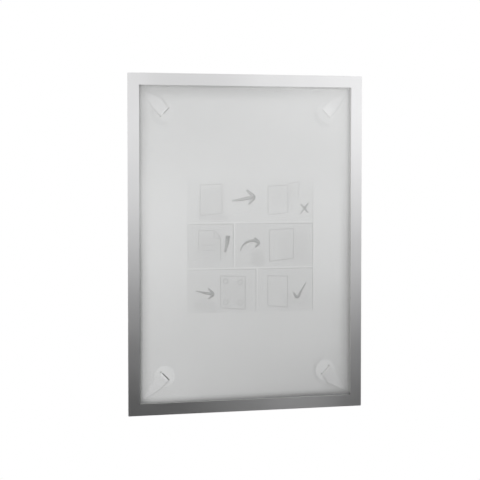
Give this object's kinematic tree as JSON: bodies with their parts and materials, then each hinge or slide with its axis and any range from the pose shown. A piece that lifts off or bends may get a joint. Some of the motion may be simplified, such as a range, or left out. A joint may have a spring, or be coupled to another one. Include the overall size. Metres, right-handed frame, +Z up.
{
  "type": "magnetic document frame",
  "caption": "Flat wall frame for a document: a satin silver border round a clear window folds up on a tape hinge, closes on magnet strips and sticks on by round pads.",
  "frame": {"origin": "on the wall plane, behind the middle of the frame", "axes": "+X to the viewer's right, +Z up, +Y into the wall; the silver front faces -Y"},
  "size_m": [0.325, 0.0055, 0.4452],
  "materials": {
    "silver_foil": "satin metallic silver foil on plastic",
    "clear_film": "clear film with a faint matt haze",
    "magnet_rubber": "matt pale grey coat on flexible magnet strip",
    "frosted_sheet": "frosted translucent film",
    "adhesive_gel": "milky adhesive pad",
    "tab_film": "smooth whitish film",
    "hinge_tape": "satin whitish tape"
  },
  "bodies": {
    "rear": {"back_sheet": "frosted_sheet", "rear_magnet_top": "magnet_rubber", "rear_magnet_right": "magnet_rubber", "rear_magnet_bottom": "magnet_rubber", "rear_magnet_left": "magnet_rubber", "hinge_tape_rear_leaf": "hinge_tape", "adhesive_pad_top_left": "adhesive_gel", "pull_tab_top_left": "tab_film", "adhesive_pad_top_right": "adhesive_gel", "pull_tab_top_right": "tab_film", "adhesive_pad_bottom_left": "adhesive_gel", "pull_tab_bottom_left": "tab_film", "adhesive_pad_bottom_right": "adhesive_gel", "pull_tab_bottom_right": "tab_film"},
    "front": {"hinge_tape_front_leaf": "hinge_tape", "front_magnet_top": "magnet_rubber", "front_magnet_right": "magnet_rubber", "front_magnet_bottom": "magnet_rubber", "front_magnet_left": "magnet_rubber", "window_film": "clear_film", "face_frame": "silver_foil"}
  },
  "joints": [
    {"name": "front_fold", "type": "hinge", "parent": "rear", "child": "front", "pos_m": [0, -0.0029, 0.2228], "axis": [-1, 0, 0], "range_deg": [0, 175]}
  ]
}
